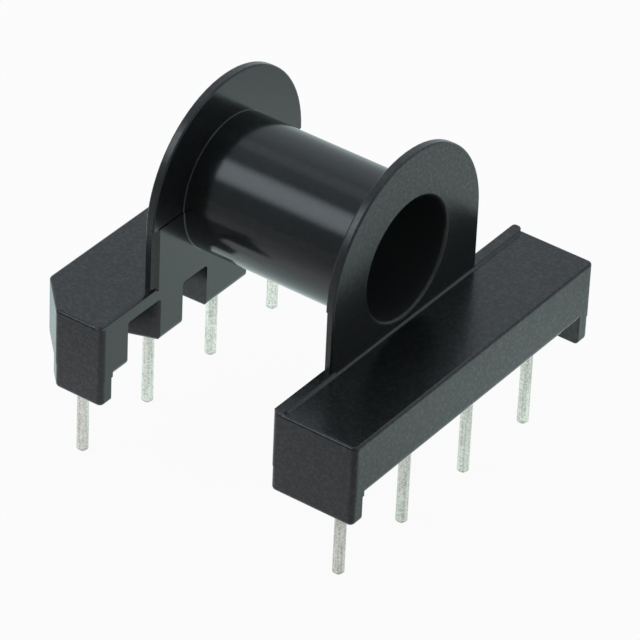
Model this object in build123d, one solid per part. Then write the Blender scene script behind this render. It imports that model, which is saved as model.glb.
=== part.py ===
from build123d import *
from math import radians, tan
import os

# Coil former for a round-post ferrite core: one moulded body and eight press-fitted terminal pins.
# Frame: X runs along the winding tube, Y along the two pin blocks, Z up from the board.
# The origin is the centre of the pin pattern on the board plane, where the feet stand.
# Lengths are in millimetres and angles in degrees.

# Terminal pins
PIN_PITCH = 5.08
PIN_ROW_SPACING = 15.24
PINS_PER_ROW = 4
PIN_DIAMETER = 0.58
PIN_SHANK_DRAFT = 0.5
PIN_REACH_BELOW_BOARD_PLANE = 4.8
PIN_SEAT_HEIGHT = 3.45
PIN_TIP_CHAMFER = 0.1
PIN_FIT_CLEARANCE = 0.0
PIN_HOLE_RELIEF = 0.1

# Winding tube
WINDING_WIDTH = 9.95
TUBE_OUTER_DIAMETER = 7.08
BORE_DIAMETER = 6.3
BORE_LIP_RADIUS = 0.16
AXIS_HEIGHT = 7.95
TUBE_ROOT_BEVEL = 0.05

# Flanges: round above the tube's axis, straight-sided and a little thicker below it
FLANGE_DIAMETER = 11.68
FLANGE_THICKNESS = 0.48
FLANGE_EDGE_RADIUS = 0.1
SKIRT_EXTRA_THICKNESS = 0.05
SKIRT_BEVEL_DEPTH = 0.165
SKIRT_BEVEL_WIDTH = 0.46

# Pin blocks
BLOCK_REACH_PAST_PINS = 2.06
BLOCK_TOP_HEIGHT = 4.48
UNDERSIDE_HEIGHT = 1.4
UNDERSIDE_EDGE_RADIUS = 0.4
BLOCK_CORNER_RADIUS = 0.28
BLOCK_TOP_EDGE_RADIUS = 0.15
FIRST_PIN_CORNER_CUT = 2.0
LEDGE_HEIGHT = 0.17
LEDGE_REACH_PAST_FLANGE = 0.11
LEDGE_INNER_EDGE_RADIUS = 0.2
LEDGE_OUTER_CORNER_RADIUS = 0.3
LEDGE_ROOT_RADIUS = 0.1

# Feet at the block ends
FOOT_THICKNESS = 0.85
FOOT_SIDE_STEP = 0.035
FOOT_EDGE_RADIUS = 0.23
FOOT_INNER_EDGE_RADIUS = 0.08

# Wire slots from the winding to the pins
SLOT_CEILING_HEIGHT = 3.92
SLOT_END_TO_PIN = 0.72
SLOT_CEILING_RADIUS = 0.15
SLOT_LIP_RADIUS = 0.25
INNER_SLOT_WIDTH = 1.9
OUTER_SLOT_REACH_INWARDS = 2.42
OUTER_SLOT_REACH_OUTWARDS = 0.1
OUTER_SLOT_SLANT = 20.0
SLOT_DRAFT = 2.0

# Sizes that follow from the ones above
PIN_RADIUS = PIN_DIAMETER / 2
PIN_ROW_X = PIN_ROW_SPACING / 2
PIN_YS = [(index - (PINS_PER_ROW - 1) / 2) * PIN_PITCH for index in range(PINS_PER_ROW)]
FLANGE_INNER_X = WINDING_WIDTH / 2
FLANGE_OUTER_X = FLANGE_INNER_X + FLANGE_THICKNESS
FLANGE_RADIUS = FLANGE_DIAMETER / 2
BLOCK_INNER_X = FLANGE_INNER_X - SKIRT_EXTRA_THICKNESS
BLOCK_OUTER_X = PIN_ROW_X + BLOCK_REACH_PAST_PINS
BLOCK_END_Y = PIN_YS[-1] + BLOCK_REACH_PAST_PINS
LEDGE_TOP_HEIGHT = BLOCK_TOP_HEIGHT + LEDGE_HEIGHT
LEDGE_OUTER_X = FLANGE_OUTER_X + LEDGE_REACH_PAST_FLANGE
FOOT_INNER_Y = BLOCK_END_Y - FOOT_THICKNESS
TUBE_RADIUS = TUBE_OUTER_DIAMETER / 2
BORE_RADIUS = BORE_DIAMETER / 2
SLOT_END_X = PIN_ROW_X - SLOT_END_TO_PIN
OUTER_SLOT_NEAR_Y = PIN_YS[-1] - OUTER_SLOT_REACH_INWARDS
OUTER_SLOT_FAR_Y = PIN_YS[-1] + OUTER_SLOT_REACH_OUTWARDS

# How far shapes run into each other before they are joined, past a face they cut, and how close is equal
OVERLAP = 0.5
OVERCUT = 1.0
NEAR = 0.01


def near(value, target):
    """True where two coordinates are the same but for rounding errors."""
    return abs(value - target) < NEAR


def block_outline(corner_cut):
    """Plan of the pin block on the +X side, with the corner beside the first pin cut off by a length."""
    corners = [
        (BLOCK_INNER_X, BLOCK_END_Y),
        (BLOCK_INNER_X, -BLOCK_END_Y),
        (BLOCK_OUTER_X - corner_cut, -BLOCK_END_Y),
        (BLOCK_OUTER_X, BLOCK_END_Y),
    ]
    if corner_cut > 0:
        corners.insert(3, (BLOCK_OUTER_X, corner_cut - BLOCK_END_Y))
    outline = make_face(Polyline(*corners, close=True))
    return fillet(outline.vertices(), BLOCK_CORNER_RADIUS)


def block_slab(corner_cut):
    """Block without its feet: a slab with rounded corners and a rounded top edge."""
    height = BLOCK_TOP_HEIGHT - UNDERSIDE_HEIGHT
    slab = extrude(Pos(0, 0, UNDERSIDE_HEIGHT) * block_outline(corner_cut), height)
    return fillet(slab.faces().sort_by(Axis.Z)[-1].edges(), BLOCK_TOP_EDGE_RADIUS)


def foot(corner_cut):
    """Foot at the -Y end of the +X block, a little inside the block's sides."""
    inner_x = BLOCK_INNER_X + FOOT_SIDE_STEP
    outer_x = BLOCK_OUTER_X - FOOT_SIDE_STEP
    corners = [
        (inner_x, -BLOCK_END_Y),
        (outer_x - corner_cut, -BLOCK_END_Y),
        (outer_x - max(corner_cut - FOOT_THICKNESS, 0), -FOOT_INNER_Y),
        (inner_x, -FOOT_INNER_Y),
    ]
    plan = make_face(Polyline(*corners, close=True))
    plan = fillet(plan.vertices().group_by(Axis.Y)[0], BLOCK_CORNER_RADIUS)
    solid = extrude(plan, UNDERSIDE_HEIGHT + OVERLAP)
    bottom_edges = solid.faces().sort_by(Axis.Z)[0].edges().sort_by(Axis.Y)
    solid = fillet(bottom_edges[:-1], FOOT_EDGE_RADIUS)
    inner_edges = solid.faces().sort_by(Axis.Y)[-1].edges().sort_by(Axis.Z)
    return fillet(inner_edges[:-1], FOOT_INNER_EDGE_RADIUS)


def ledge():
    """Low ledge along the inner top edge of a block, which carries the flange."""
    bottom = BLOCK_TOP_HEIGHT - OVERLAP
    width = LEDGE_OUTER_X - BLOCK_INNER_X
    middle_x = (LEDGE_OUTER_X + BLOCK_INNER_X) / 2
    plan = Pos(middle_x, 0) * Rectangle(width, 2 * BLOCK_END_Y)
    plan = fillet(plan.vertices().group_by(Axis.X)[0], BLOCK_CORNER_RADIUS)
    plan = fillet(plan.vertices().group_by(Axis.X)[-1], LEDGE_OUTER_CORNER_RADIUS)
    bar = extrude(Pos(0, 0, bottom) * plan, LEDGE_TOP_HEIGHT - bottom)
    section = Pos(middle_x, LEDGE_TOP_HEIGHT / 2) * Rectangle(width, LEDGE_TOP_HEIGHT)
    top_corners = section.vertices().group_by(Axis.Y)[-1].sort_by(Axis.X)
    section = fillet(top_corners[0], LEDGE_INNER_EDGE_RADIUS)
    return bar & extrude(Plane.XZ * section, BLOCK_END_Y + OVERCUT, both=True)


def corner_strip(corner_x, corner_z, side, radius, reach, half_length):
    """Prism along Y between a corner and the arc that rounds it from above.

    side, +1 or -1, points along X from the corner to the arc's centre; reach is how far the prism
    runs past the corner on the other side."""
    size = radius + reach
    square_x = corner_x + side * (radius - size / 2)
    square_z = corner_z + radius - size / 2
    square = Pos(square_x, square_z) * Rectangle(size, size)
    round_part = Pos(corner_x + side * radius, corner_z + radius) * Circle(radius)
    return extrude(Plane.XZ * (square - round_part), half_length, both=True)


def ledge_root():
    """Small cove between the ledge's outer side and the block's top."""
    length = BLOCK_END_Y - LEDGE_OUTER_CORNER_RADIUS
    return corner_strip(LEDGE_OUTER_X, BLOCK_TOP_HEIGHT, 1, LEDGE_ROOT_RADIUS, LEDGE_ROOT_RADIUS, length)


def underside_edge(corner_x, inwards):
    """What rounding one long bottom edge between the feet takes off; inwards is +1 or -1 along X."""
    return corner_strip(corner_x, UNDERSIDE_HEIGHT, inwards, UNDERSIDE_EDGE_RADIUS, OVERCUT, FOOT_INNER_Y)


def inner_slot_outline(middle_y):
    """Plan of a straight wire slot opposite a middle pin, a little narrower at its end."""
    depth = SLOT_END_X - BLOCK_INNER_X
    half_mouth = INNER_SLOT_WIDTH / 2
    half_end = half_mouth - depth * tan(radians(SLOT_DRAFT))
    return [
        (BLOCK_INNER_X - OVERCUT, middle_y - half_mouth),
        (BLOCK_INNER_X, middle_y - half_mouth),
        (SLOT_END_X, middle_y - half_end),
        (SLOT_END_X, middle_y + half_end),
        (BLOCK_INNER_X, middle_y + half_mouth),
        (BLOCK_INNER_X - OVERCUT, middle_y + half_mouth),
    ]


def outer_slot_outline(side):
    """Plan of a funnel-shaped wire slot that leads out to an end pin; side is +1 or -1 along Y."""
    depth = SLOT_END_X - BLOCK_INNER_X
    near_end_y = OUTER_SLOT_NEAR_Y + depth * tan(radians(OUTER_SLOT_SLANT))
    far_end_y = OUTER_SLOT_FAR_Y - depth * tan(radians(SLOT_DRAFT))
    return [
        (BLOCK_INNER_X - OVERCUT, side * OUTER_SLOT_NEAR_Y),
        (BLOCK_INNER_X, side * OUTER_SLOT_NEAR_Y),
        (SLOT_END_X, side * near_end_y),
        (SLOT_END_X, side * far_end_y),
        (BLOCK_INNER_X, side * OUTER_SLOT_FAR_Y),
        (BLOCK_INNER_X - OVERCUT, side * OUTER_SLOT_FAR_Y),
    ]


def slot_cutter(outline):
    """Solid of one wire slot, open below and towards the winding, with a rounded ceiling."""
    plan = make_face(Polyline(*outline, close=True))
    cutter = extrude(Pos(0, 0, -OVERCUT) * plan, SLOT_CEILING_HEIGHT + OVERCUT)
    ceiling_edges = cutter.faces().sort_by(Axis.Z)[-1].edges()
    rounded = ceiling_edges.filter_by(lambda edge: edge.center().X > BLOCK_INNER_X - OVERCUT + NEAR)
    return fillet(rounded, SLOT_CEILING_RADIUS)


def is_slot_lip(edge):
    """True for the lower edge of a slot wall, where the slot opens through the underside."""
    middle = edge.center()
    inside_block = BLOCK_INNER_X + NEAR < middle.X < SLOT_END_X + NEAR
    return near(middle.Z, UNDERSIDE_HEIGHT) and inside_block and abs(middle.Y) < OUTER_SLOT_FAR_Y + NEAR


def pin_block(corner_cut):
    """A pin block as it stands on the +X side, with its ledge, wire slots and feet."""
    block = block_slab(corner_cut) + ledge() + ledge_root()
    for middle_y in PIN_YS[1:-1]:
        block -= slot_cutter(inner_slot_outline(middle_y))
    for side in (-1, 1):
        block -= slot_cutter(outer_slot_outline(side))
    block = fillet(block.edges().filter_by(is_slot_lip), SLOT_LIP_RADIUS)
    block -= underside_edge(BLOCK_INNER_X, inwards=1)
    block -= underside_edge(BLOCK_OUTER_X, inwards=-1)
    return block + foot(corner_cut) + mirror(foot(corner_cut=0), Plane.XZ)


def flange_disc():
    """Round flange on the +X side, with a softly rounded rim."""
    middle_x = (FLANGE_INNER_X + FLANGE_OUTER_X) / 2
    disc = Pos(middle_x, 0, AXIS_HEIGHT) * Rot(0, 90, 0) * Cylinder(FLANGE_RADIUS, FLANGE_THICKNESS)
    disc = fillet(disc.edges().filter_by(GeomType.CIRCLE), FLANGE_EDGE_RADIUS)
    upper_half = Pos(middle_x, 0, AXIS_HEIGHT + FLANGE_RADIUS) * Box(
        2 * FLANGE_THICKNESS, 2 * FLANGE_DIAMETER, 2 * FLANGE_RADIUS
    )
    return disc & upper_half


def flange_skirt():
    """Straight-sided lower half of the flange, level with the block's inner face and bevelled there."""
    bevel_x = BLOCK_INNER_X + SKIRT_BEVEL_DEPTH
    bevel_y = FLANGE_RADIUS - SKIRT_BEVEL_WIDTH
    corners = [
        (BLOCK_INNER_X, -bevel_y),
        (bevel_x, -FLANGE_RADIUS),
        (FLANGE_OUTER_X, -FLANGE_RADIUS),
        (FLANGE_OUTER_X, FLANGE_RADIUS),
        (bevel_x, FLANGE_RADIUS),
        (BLOCK_INNER_X, bevel_y),
    ]
    plan = make_face(Polyline(*corners, close=True))
    plan = fillet(plan.vertices().group_by(Axis.X)[-1], FLANGE_EDGE_RADIUS)
    foot_height = BLOCK_TOP_HEIGHT - OVERLAP
    return extrude(Pos(0, 0, foot_height) * plan, AXIS_HEIGHT - foot_height)


def tube_root(face_x, first_turn):
    """Half ring that stiffens the corner between the tube and the flange face at face_x."""
    inside_x = face_x + SKIRT_EXTRA_THICKNESS
    inside_y = (TUBE_RADIUS + BORE_RADIUS) / 2
    outline = Polyline(
        (face_x - TUBE_ROOT_BEVEL, TUBE_RADIUS),
        (face_x, TUBE_RADIUS + TUBE_ROOT_BEVEL),
        (inside_x, TUBE_RADIUS + TUBE_ROOT_BEVEL),
        (inside_x, inside_y),
        (face_x - TUBE_ROOT_BEVEL, inside_y),
        close=True,
    )
    half_ring = revolve(make_face(outline), Axis.X, 180)
    return Pos(0, 0, AXIS_HEIGHT) * Rot(first_turn, 0, 0) * half_ring


def flanged_side(corner_cut):
    """Everything of one side of the body but the tube, as it stands on the +X side."""
    side = pin_block(corner_cut) + flange_disc() + flange_skirt()
    side += tube_root(FLANGE_INNER_X, first_turn=0)
    return side + tube_root(BLOCK_INNER_X, first_turn=180)


def is_bore_mouth(edge):
    """True for the round edge where the bore comes out of a flange."""
    return near(edge.radius, BORE_RADIUS) and near(abs(edge.center().X), FLANGE_OUTER_X)


def bobbin_body():
    """The whole moulded body as one solid."""
    right_side = flanged_side(corner_cut=0)
    left_side = mirror(flanged_side(FIRST_PIN_CORNER_CUT), Plane.YZ)
    tube_length = WINDING_WIDTH + FLANGE_THICKNESS
    along_x = Pos(0, 0, AXIS_HEIGHT) * Rot(0, 90, 0)
    body = right_side + left_side + along_x * Cylinder(TUBE_RADIUS, tube_length)
    body -= along_x * Cylinder(BORE_RADIUS, 2 * BLOCK_OUTER_X)
    body = fillet(body.edges().filter_by(GeomType.CIRCLE).filter_by(is_bore_mouth), BORE_LIP_RADIUS)
    for position in pin_positions():
        body -= position * pin_hole()
    return body


def pin_positions():
    """Places of the eight pins, numbered along the -X row and back along the +X row."""
    left_row = [Pos(-PIN_ROW_X, y, 0) for y in PIN_YS]
    right_row = [Pos(PIN_ROW_X, y, 0) for y in reversed(PIN_YS)]
    return left_row + right_row


def shank_radius(height):
    """Radius of the pressed-in end of a pin, which tapers upwards with the draft of its moulded hole."""
    return PIN_RADIUS - (height - UNDERSIDE_HEIGHT) * tan(radians(PIN_SHANK_DRAFT))


def pin_hole():
    """Blind hole from the underside that holds the shank of a pin, with the draft of a moulded hole."""
    top = PIN_SEAT_HEIGHT + PIN_HOLE_RELIEF
    widest = shank_radius(0) + PIN_FIT_CLEARANCE
    narrowest = shank_radius(top) + PIN_FIT_CLEARANCE
    return Pos(0, 0, top / 2) * Cone(widest, narrowest, top)


def pin():
    """One terminal pin: round wire with bevelled ends, and a tapered shank above the underside."""
    free_end = -PIN_REACH_BELOW_BOARD_PLANE
    shank_end = PIN_SEAT_HEIGHT - PIN_TIP_CHAMFER
    outline = Polyline(
        (0, free_end),
        (PIN_RADIUS - PIN_TIP_CHAMFER, free_end),
        (PIN_RADIUS, free_end + PIN_TIP_CHAMFER),
        (PIN_RADIUS, UNDERSIDE_HEIGHT),
        (shank_radius(shank_end), shank_end),
        (shank_radius(shank_end) - PIN_TIP_CHAMFER, PIN_SEAT_HEIGHT),
        (0, PIN_SEAT_HEIGHT),
        close=True,
    )
    return revolve(Plane.XZ * make_face(outline), Axis.Z)


def main():
    """Write one STEP file for the body and one for each pin."""
    os.makedirs("parts", exist_ok=True)
    export_step(bobbin_body(), "parts/bobbin_body.step")
    for number, position in enumerate(pin_positions(), start=1):
        export_step(position * pin(), f"parts/pin_{number}.step")


main()
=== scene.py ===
# %% [markdown]
# # A coil former for a small transformer
# The real thing is one black moulding and eight tinned wire pins. The moulding is a thin tube to wind wire on,
# two thin round flanges that keep the wire in place, and two long blocks that hold the pins.
# The solids already have every rounding and slot, so this lesson spends its time on the finishes and the light:
# black glossy plastic shows hardly any colour of its own, and nearly all that one sees in it is reflection.

# %% Load the packed part
import math

import bpy
from mathutils import Matrix, Vector


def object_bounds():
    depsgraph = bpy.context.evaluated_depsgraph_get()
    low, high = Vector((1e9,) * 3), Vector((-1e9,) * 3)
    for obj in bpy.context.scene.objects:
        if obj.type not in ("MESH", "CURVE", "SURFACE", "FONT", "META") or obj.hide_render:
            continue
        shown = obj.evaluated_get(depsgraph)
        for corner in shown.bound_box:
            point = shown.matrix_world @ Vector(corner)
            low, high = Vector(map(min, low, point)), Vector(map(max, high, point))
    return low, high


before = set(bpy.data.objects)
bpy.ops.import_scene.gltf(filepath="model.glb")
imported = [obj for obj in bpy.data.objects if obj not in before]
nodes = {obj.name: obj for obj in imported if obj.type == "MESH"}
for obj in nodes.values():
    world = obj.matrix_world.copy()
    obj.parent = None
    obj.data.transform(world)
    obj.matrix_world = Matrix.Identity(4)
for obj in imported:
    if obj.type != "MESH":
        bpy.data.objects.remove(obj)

solids_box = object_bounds()
body = nodes["bobbin_body"]
pins = [nodes[f"pin_{number}"] for number in range(1, 9)]
STAND = solids_box[0].z
print("nodes:", sorted(nodes), "stand on", round(STAND * 1000, 2), "mm")
print("box of the solids in mm:", [[round(c * 1000, 2) for c in corner] for corner in solids_box])

# %% [markdown]
# ## Numbers as sockets
# A material is a net of nodes, and a net written out wire by wire is hard to read.
# The class below wraps one output socket of a node, so that `a * 0.3 + b` adds the two Math nodes by itself.
# Its other methods cover what this lesson often needs of a number: one range mapped to another, a rise or a fall
# across a border, and the larger of two values.

# %% A socket that does sums
class Value:
    """One output socket inside a net, with the usual operators."""

    def __init__(self, net, socket):
        self.net = net
        self.socket = socket

    def math(self, operation, first, second):
        return self.net.node("ShaderNodeMath", {"operation": operation}, {0: first, 1: second})

    def __add__(self, other):
        return self.math("ADD", self, other)

    def __radd__(self, other):
        return self.math("ADD", other, self)

    def __sub__(self, other):
        return self.math("SUBTRACT", self, other)

    def __rsub__(self, other):
        return self.math("SUBTRACT", other, self)

    def __mul__(self, other):
        return self.math("MULTIPLY", self, other)

    def __rmul__(self, other):
        return self.math("MULTIPLY", other, self)

    def larger(self, other):
        return self.math("MAXIMUM", self, other)

    def mapped(self, low, high, to_low, to_high, kind="LINEAR"):
        """The value where low to high is mapped to to_low to to_high, and held beyond that."""
        settings = {"interpolation_type": kind, "clamp": True}
        inputs = {"Value": self, "From Min": low, "From Max": high, "To Min": to_low, "To Max": to_high}
        return self.net.node("ShaderNodeMapRange", settings, inputs)

    def rising(self, low, high):
        """0 up to low, 1 from high on."""
        return self.mapped(low, high, 0.0, 1.0)

    def falling(self, low, high):
        """1 up to low, 0 from high on."""
        return self.mapped(low, high, 1.0, 0.0)


print("a value knows + - *, larger, mapped, rising and falling")

# %% [markdown]
# `Net` holds the nodes of one material or of the sky. Its method `node` adds any node from its type, its settings,
# which come first because they decide which sockets there are, and the entries of its sockets.
# Colours and vectors go through Mix and Vector Math, because a Math node would turn a colour grey.

# %% A net of nodes
class Net:
    """The nodes of one material or world."""

    def __init__(self, owner):
        self.owner = owner
        owner.use_nodes = True
        self.tree = owner.node_tree
        self.tree.nodes.clear()

    def node(self, kind, settings=None, inputs=None, output=0):
        made = self.tree.nodes.new(kind)
        for name, setting in (settings or {}).items():
            setattr(made, name, setting)
        for name, entry in (inputs or {}).items():
            if isinstance(entry, Value):
                self.tree.links.new(entry.socket, made.inputs[name])
            else:
                made.inputs[name].default_value = entry
        return Value(self, made.outputs[output])

    def vector(self, operation, *entries, output=0):
        """A sum on vectors, with its entries in the order of the sockets."""
        return self.node("ShaderNodeVectorMath", {"operation": operation}, dict(enumerate(entries)), output)

    def scaled(self, colour, factor):
        """A colour times a number that changes."""
        return self.node("ShaderNodeVectorMath", {"operation": "SCALE"}, {"Vector": colour, "Scale": factor})

    def mixed(self, factor, first, second):
        """One colour turning into another as the factor goes from 0 to 1."""
        inputs = {"Factor": factor, "A": first, "B": second}
        return self.node("ShaderNodeMix", {"data_type": "RGBA"}, inputs, output=2)

    def noise(self, place, scale, detail, roughness):
        """Noise with lumps about 1 / scale across."""
        inputs = {"Vector": place, "Scale": scale, "Detail": detail, "Roughness": roughness}
        return self.node("ShaderNodeTexNoise", inputs=inputs)

    def stretched(self, place, scale):
        return self.node("ShaderNodeMapping", inputs={"Vector": place, "Scale": scale})

    def ray(self, kind):
        """1 where the light path that asks is of that kind, 0 elsewhere."""
        return self.node("ShaderNodeLightPath", output=f"Is {kind} Ray")

    def surface(self, shader, kind="ShaderNodeOutputMaterial"):
        end = self.tree.nodes.new(kind)
        self.tree.links.new(shader.socket, end.inputs["Surface"])
        print(self.owner.name, "has", len(self.tree.nodes), "nodes")
        return self.owner


print("a net adds", [name for name in vars(Net) if not name.startswith("_")])

# %% [markdown]
# ## The moulded plastic
# A thermoset moulding copies the steel of its mould. The slides that shape the winding space were polished, so the
# tube and the inner faces of the flanges are close to a black mirror. The outside was left as spark erosion made
# it: a finer gloss with a grain that can just be seen, strongest on the outer faces of the flanges.
# Everything is a pattern on Object coordinates, in metres, so it sits still on the part, and the borders between
# the finishes are the same planes that the mould has.

# %% Where each finish lies
POLISHED_HALF_WIDTH = 0.00500
FLANGE_FACE_X = 0.00545
FLANGE_RADIUS = 0.00584
TUBE_AXIS_Z = 0.00795
BORE_RADIUS = 0.00315
HAIR = 0.00003


class Place(Value):
    """The point of the part that is being shaded, in metres."""

    def __init__(self, net):
        found = net.node("ShaderNodeTexCoord", output="Object")
        super().__init__(net, found.socket)

    def along(self, axis):
        return self.net.node("ShaderNodeSeparateXYZ", inputs={0: self}, output=axis)

    def from_middle(self, axis):
        """The distance from the plane through the origin across that axis, to either side."""
        return self.net.node("ShaderNodeMath", {"operation": "ABSOLUTE"}, {0: self.along(axis)})

    def from_tube_axis(self):
        across = self.net.vector("MULTIPLY_ADD", self, (0, 1, 1), (0, 0, -TUBE_AXIS_Z))
        return self.net.vector("LENGTH", across, output="Value")


def between(value, low, high):
    """1 where the value lies from low to high, 0 outside, with a border a hair wide."""
    return value.rising(low - HAIR, low) * value.falling(high, high + HAIR)


print("polished between the flanges:", 2000 * POLISHED_HALF_WIDTH, "mm, borders", 1000 * HAIR, "mm wide")

# %% [markdown]
# The low ledge at the foot of each flange is softer on the real moulding than a crisp step. Its foot draws a thin
# light line along the right block, and its inner edge is a plain one without a shadow.
# Leaning the shading normal on those narrow strips softens them without moving a vertex. A lean has to keep the
# mirrored direction above the real surface, or the strip turns black, so each strip has a lean of its own:
# the foot leans back to a gentle slope, the inner edge snaps to the face above or below it, and the round near end
# leans halfway up.

# %% Lean the normal along the ledge
BLOCK_TOP_Z = 0.00448
LEDGE_TOP_Z = 0.00466
LEDGE_WALL_TOP_Z = 0.00462
LEDGE_FOOT_TOP_Z = 0.00455
CLEAR_OF_FLANGE_Y = 0.00560
OUTER_SIDE_X = (0.00553, 0.00564)
INNER_EDGE_X = (0.00492, 0.00515)
INNER_EDGE_Y = (0.00556, 0.00957)
INNER_EDGE_MIDDLE_Z = 0.00459
ROUND_END_X = (0.00526, 0.00556)
ROUND_END_Y = 0.00952
SLOPE_SIDEWAYS, SLOPE_UP = 2.9, 8.0
SNAP = 7.0
HALFWAY = 5.0


def leaned_normal(net, place):
    height = place.along("Z")
    middle = place.from_middle("X")
    sideways = place.from_middle("Y")
    right_block = place.along("X").rising(-HAIR, HAIR)
    near_end = place.along("Y").falling(-ROUND_END_Y - HAIR, -ROUND_END_Y)
    ledge_height = between(height, BLOCK_TOP_Z - HAIR, LEDGE_TOP_Z)
    foot = height.falling(LEDGE_FOOT_TOP_Z, LEDGE_FOOT_TOP_Z + HAIR)
    clear = sideways.rising(CLEAR_OF_FLANGE_Y, CLEAR_OF_FLANGE_Y + HAIR)
    outer = between(middle, *OUTER_SIDE_X) * ledge_height * (1.0 - near_end) * foot.larger(clear)
    inner = between(middle, *INNER_EDGE_X) * between(sideways, *INNER_EDGE_Y) * ledge_height
    round_end = between(middle, *ROUND_END_X) * between(height, BLOCK_TOP_Z, LEDGE_WALL_TOP_Z) * near_end
    wall_part = height.falling(INNER_EDGE_MIDDLE_Z - HAIR, INNER_EDGE_MIDDLE_Z) * (1.0 - right_block)
    push_x = outer * right_block * SLOPE_SIDEWAYS + inner * wall_part * SNAP
    push_z = outer * SLOPE_UP + inner * (1.0 - wall_part) * SNAP + round_end * HALFWAY
    push = net.node("ShaderNodeCombineXYZ", inputs={"X": push_x, "Y": round_end * -HALFWAY, "Z": push_z})
    straight = net.node("ShaderNodeNewGeometry", output="Normal")
    return net.vector("NORMALIZE", net.vector("ADD", straight, push))


print("the ledge's strips lie", [1000 * x for x in (*INNER_EDGE_X, *OUTER_SIDE_X)], "mm from the middle")

# %% [markdown]
# Mineral filler shows at the surface as tiny spots that are a little brighter where a skin of pure resin lies over
# them. A thin clear coat whose weight follows the grain draws those spots, more of them on the outer faces.
# The upper rims of the flanges are painted a little lighter. This is painted light that stands in for the
# reflections they show. The bore is painted lighter too, as painted light in its dark hollow, and it is rougher than
# the rest because its core pin was only turned. The outer faces of the flanges are painted a little darker, which is
# painted shade. Roughness, the coat, a very low bump and these painted changes of the base colour carry all of this.

# %% Black glossy plastic
DEEP_BLACK = (0.0076, 0.0093, 0.0088, 1)
DULL_BLACK = (0.0220, 0.0240, 0.0235, 1)
RIM_LIGHT_ABOVE_Z = (TUBE_AXIS_Z - 0.0015, TUBE_AXIS_Z + 0.0005)


def moulded_plastic():
    net = Net(bpy.data.materials.new("black moulded plastic"))
    place = Place(net)
    height = place.along("Z")
    middle = place.from_middle("X")
    radius = place.from_tube_axis()
    outside = middle.rising(POLISHED_HALF_WIDTH, POLISHED_HALF_WIDTH + 2 * HAIR)
    disc_face = middle.rising(FLANGE_FACE_X - HAIR, FLANGE_FACE_X) * height.rising(LEDGE_TOP_Z, LEDGE_TOP_Z + HAIR)
    # Painted light: the upper rims of the flanges get a lighter base colour.
    painted_rim_light = radius.rising(FLANGE_RADIUS - 4 * HAIR, FLANGE_RADIUS - 2 * HAIR) * height.rising(*RIM_LIGHT_ABOVE_Z)
    bore = radius.falling(BORE_RADIUS + HAIR, BORE_RADIUS + 3 * HAIR)
    clouds = net.noise(place, 420.0, 3.0, 0.55)
    grain = net.noise(place, 5500.0, 2.5, 0.75)
    streaks = net.noise(net.stretched(place, (260.0, 1500.0, 1500.0)), 1.0, 4.0, 0.5)
    # The filler spots are the plastic's own colour. The rim and bore terms are painted light, and the flange face
    # term is painted shade.
    filler_spots_painted_light_and_shade = grain.rising(0.36, 0.64) * 0.6 + painted_rim_light * 0.9 + bore * 0.8 - disc_face * 0.3
    relief = clouds * 0.5 + streaks * 0.3 + grain * outside * 0.9
    skin = {"Strength": 0.06, "Distance": 0.00005, "Height": relief, "Normal": leaned_normal(net, place)}
    inputs = {
        "Base Color": net.mixed(filler_spots_painted_light_and_shade, DEEP_BLACK, DULL_BLACK),
        "Roughness": 0.11 + outside * 0.10 + bore * 0.20 + clouds * 0.06 + grain * 0.02,
        "Normal": net.node("ShaderNodeBump", inputs=skin),
        "IOR": 1.55,
        "Coat Weight": grain.rising(0.46, 0.64) * (outside * 0.28 + disc_face * 0.10 + 0.05),
        "Coat Roughness": 0.25,
    }
    return net.surface(net.node("ShaderNodeBsdfPrincipled", inputs=inputs))


black_plastic = moulded_plastic()

# %% [markdown]
# ## The tinned pins
# The pins are cut from tinned wire. The tin is soft, so drawing the wire leaves fine scores and duller stripes along
# it, and the coating is uneven: bright and dull specks lie all over it. The tips are painted darker, a painted shade
# that stands in for the shadowed sheet under them.
# Noise that is stretched along Z gives the scores and the stripes, and round noise at two scales gives the specks.

# %% Tinned wire
TIN = (0.868, 0.814, 0.738)
TIP_SHADE_Z = (STAND + 0.00006, STAND + 0.00020)


def tinned_wire():
    net = Net(bpy.data.materials.new("tinned wire"))
    place = Place(net)
    scores = net.noise(net.stretched(place, (9000.0, 9000.0, 350.0)), 1.0, 3.0, 0.6)
    patches = net.noise(place, 2600.0, 3.0, 0.55)
    specks = net.noise(place, 9500.0, 2.0, 0.7)
    # Painted shade: the lowest part of each pin is made darker.
    painted_tip_shade = place.along("Z").mapped(*TIP_SHADE_Z, 0.40, 0.0)
    uneven = scores * 0.35 + specks * 0.50 + patches * 0.15
    brightness = uneven.mapped(0.41, 0.59, 0.66, 1.26) - painted_tip_shade
    skin = {"Strength": 0.45, "Distance": 0.00002, "Height": scores * 0.5 + specks * 0.5}
    inputs = {
        "Base Color": net.scaled(TIN, brightness),
        "Metallic": 1.0,
        "Roughness": 0.27 + patches * 0.14 + specks * 0.16,
        "Normal": net.node("ShaderNodeBump", inputs=skin),
    }
    return net.surface(net.node("ShaderNodeBsdfPrincipled", inputs=inputs))


tin = tinned_wire()

# %% [markdown]
# ## Dressing the solids
# Each solid is one piece of one stuff, so each gets one material in its only slot, and all eight pins share theirs.

# %% Give the finishes to the nodes
def dress(piece, material):
    piece.data.materials.clear()
    piece.data.materials.append(material)


dress(body, black_plastic)
for pin in pins:
    dress(pin, tin)
print("dressed", 1 + len(pins), "nodes")

# %% [markdown]
# ## Floor
# A product picture has a white sheet under and behind the part, and what the camera sees of it is lifted towards
# plain white. The sides of the part all mirror the sheet, so its brightness in reflections matters more than how
# it looks itself: brightest behind the part, falling off towards the camera, where the room is dark, and outwards.
# Part of the real shading stays in the mix, so the part keeps its soft shadow.

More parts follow.
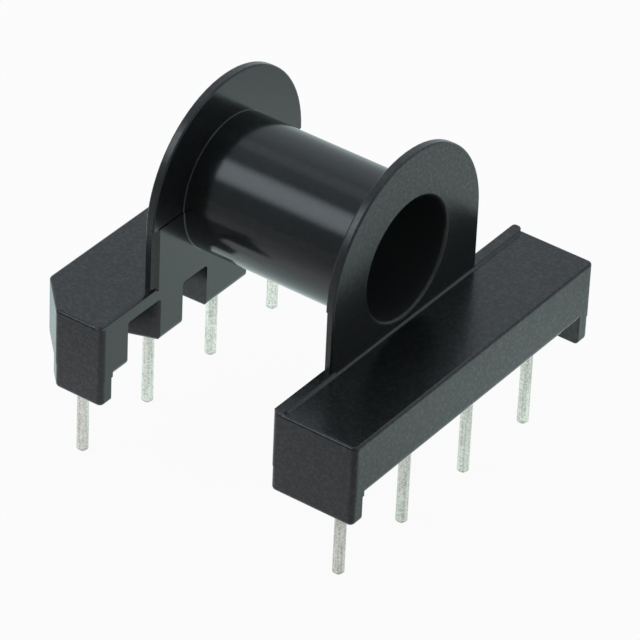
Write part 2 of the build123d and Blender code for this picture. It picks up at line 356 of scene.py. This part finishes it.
# %% A pale floor
SHEET_HALF_WIDTH = 0.6
TOWARDS_CAMERA = (0.572, -0.820, 0.0)
GLOW_TOWARDS_CAMERA = (-0.006, 0.026, 1.36, 0.42)
GLOW_OUTWARDS = (0.018, 0.028, 1.0, 0.62)
TINT_BORDER_Y = (-0.016, -0.004)
FRONT_TINT = (0.99, 0.99, 1.06, 1)
BACK_TINT = (0.85, 1.03, 1.02, 1)
PAPER = (0.92, 0.86, 0.82, 1)
WHITE = (1, 1, 1, 1)


def white_sheet():
    net = Net(bpy.data.materials.new("white sheet"))
    place = Place(net)
    nearer = net.vector("DOT_PRODUCT", place, TOWARDS_CAMERA, output="Value")
    reach = net.vector("LENGTH", place, output="Value")
    # Painted light: the sheet glows for reflections only, a painted pool of light brightest behind the part, tinted
    # by where it lies.
    glow = nearer.mapped(*GLOW_TOWARDS_CAMERA) * reach.mapped(*GLOW_OUTWARDS)
    pool = net.scaled(net.mixed(place.along("Y").rising(*TINT_BORDER_Y), FRONT_TINT, BACK_TINT), glow)
    seen = net.ray("Camera")
    paper = net.node("ShaderNodeBsdfDiffuse", inputs={"Color": PAPER})
    white = net.node("ShaderNodeEmission", inputs={"Color": net.mixed(seen, pool, WHITE), "Strength": 1.0})
    lift = seen * 0.94 + net.ray("Glossy") * 0.65 + net.ray("Transmission") * 0.9
    return net.surface(net.node("ShaderNodeMixShader", inputs={0: lift, 1: paper, 2: white}))


def make_floor():
    half = SHEET_HALF_WIDTH
    mesh = bpy.data.meshes.new("floor")
    corners = [(-half, -half, STAND), (half, -half, STAND), (half, half, STAND), (-half, half, STAND)]
    mesh.from_pydata(corners, [], [(0, 1, 2, 3)])
    floor = bpy.data.objects.new("floor", mesh)
    bpy.context.scene.collection.objects.link(floor)
    floor.data.materials.append(white_sheet())


make_floor()

# %% [markdown]
# ## Light
# The surroundings are a pale room: brighter behind the part, dim on the camera's side, with a faint strip overhead.
# The one strong light is a round softbox in front on the left, high up. It is what draws the bright
# band along the winding tube, and the thin bright lines along the front edges.
# All of it is a sky whose brightness depends only on the direction, so nothing has to be placed in the room.

# %% Sky
SKY_COLOUR = (0.91, 1.01, 1.09)
ROOM_BY_DEPTH = (-0.85, 0.70, 0.28, 0.65)
ROOM_BY_SIDE = (-0.56, -0.36, 1.10, 0.84)
STRIP_FRONT = (0.05, 0.13, 0.0, 1.0)
STRIP_BACK = (0.26, 0.40, 1.0, 0.0)
SOFTBOX = {"centre": (-0.46, -0.565, 0.69), "plateau": 5.0, "edge": 19.5, "strength": 2.1}
GLOW_BEHIND = {"centre": (-0.08, 0.68, 0.73), "plateau": 8.0, "edge": 26.0, "strength": 0.30}


def lit_patch(net, toward, centre, plateau, edge, strength):
    """A round patch of light in the sky; plateau and edge are angles from its centre in degrees."""
    dot = net.vector("DOT_PRODUCT", toward, tuple(Vector(centre).normalized()), output="Value")
    outer, inner = math.cos(math.radians(edge)), math.cos(math.radians(plateau))
    return dot.mapped(outer, inner, 0.0, 1.0, "SMOOTHSTEP") * strength


def make_sky():
    world = bpy.data.worlds.new("pale room")
    bpy.context.scene.world = world
    net = Net(world)
    toward = net.node("ShaderNodeTexCoord", output="Generated")
    right = net.node("ShaderNodeSeparateXYZ", inputs={0: toward}, output="X")
    back = net.node("ShaderNodeSeparateXYZ", inputs={0: toward}, output="Y")
    room = back.mapped(*ROOM_BY_DEPTH) * right.mapped(*ROOM_BY_SIDE)
    strip = back.mapped(*STRIP_FRONT, "SMOOTHSTEP") * back.mapped(*STRIP_BACK, "SMOOTHSTEP")
    brightness = room + strip * 0.22 + lit_patch(net, toward, **SOFTBOX) + lit_patch(net, toward, **GLOW_BEHIND)
    sky = net.node("ShaderNodeBackground", inputs={"Color": net.scaled(SKY_COLOUR, brightness), "Strength": 1.0})
    white = net.node("ShaderNodeBackground", inputs={"Color": WHITE, "Strength": 1.0})
    mix = net.node("ShaderNodeMixShader", inputs={0: net.ray("Camera"), 1: sky, 2: white})
    net.surface(mix, "ShaderNodeOutputWorld")


make_sky()

# %% [markdown]
# ## Camera
# The photograph was taken from far away with a long lens, from the front right and well above.
# The numbers come from fitting the corners of the part to the picture: direction, distance, a small roll, and a
# small shift because the part isn't centred in the frame.

# %% Camera
CAMERA_AZIMUTH = math.radians(34.903)
CAMERA_ELEVATION = math.radians(35.791)
CAMERA_ROLL = math.radians(2.527)
CAMERA_DISTANCE = 0.25354
AIM_HEIGHT = 0.00015
LENS = 298.0
SENSOR = 36.0
PICTURE = 640
AIM_PIXEL = (307.43, 351.96)


def make_camera():
    across = math.cos(CAMERA_ELEVATION)
    back = Vector((
        math.sin(CAMERA_AZIMUTH) * across,
        -math.cos(CAMERA_AZIMUTH) * across,
        math.sin(CAMERA_ELEVATION),
    ))
    level_right = Vector((math.cos(CAMERA_AZIMUTH), math.sin(CAMERA_AZIMUTH), 0))
    level_up = back.cross(level_right)
    right = level_right * math.cos(CAMERA_ROLL) + level_up * math.sin(CAMERA_ROLL)
    up = level_up * math.cos(CAMERA_ROLL) - level_right * math.sin(CAMERA_ROLL)
    data = bpy.data.cameras.new("camera")
    data.lens = LENS
    data.sensor_width = SENSOR
    data.shift_x = (PICTURE / 2 - AIM_PIXEL[0]) / PICTURE
    data.shift_y = (AIM_PIXEL[1] - PICTURE / 2) / PICTURE
    data.clip_start = 0.01
    data.clip_end = 10.0
    camera = bpy.data.objects.new("camera", data)
    bpy.context.scene.collection.objects.link(camera)
    turn = Matrix((right, up, back)).transposed().to_4x4()
    camera.matrix_world = Matrix.Translation(back * CAMERA_DISTANCE + Vector((0, 0, AIM_HEIGHT))) @ turn
    bpy.context.scene.camera = camera
    print("camera at", [round(c * 1000, 1) for c in camera.location], "mm, lens", LENS)


make_camera()

# %% [markdown]
# ## View transform
# The Standard view transform shows the colours as they were worked out, and white stays white.

# %% Set the view transform
bpy.context.scene.view_settings.view_transform = "Standard"
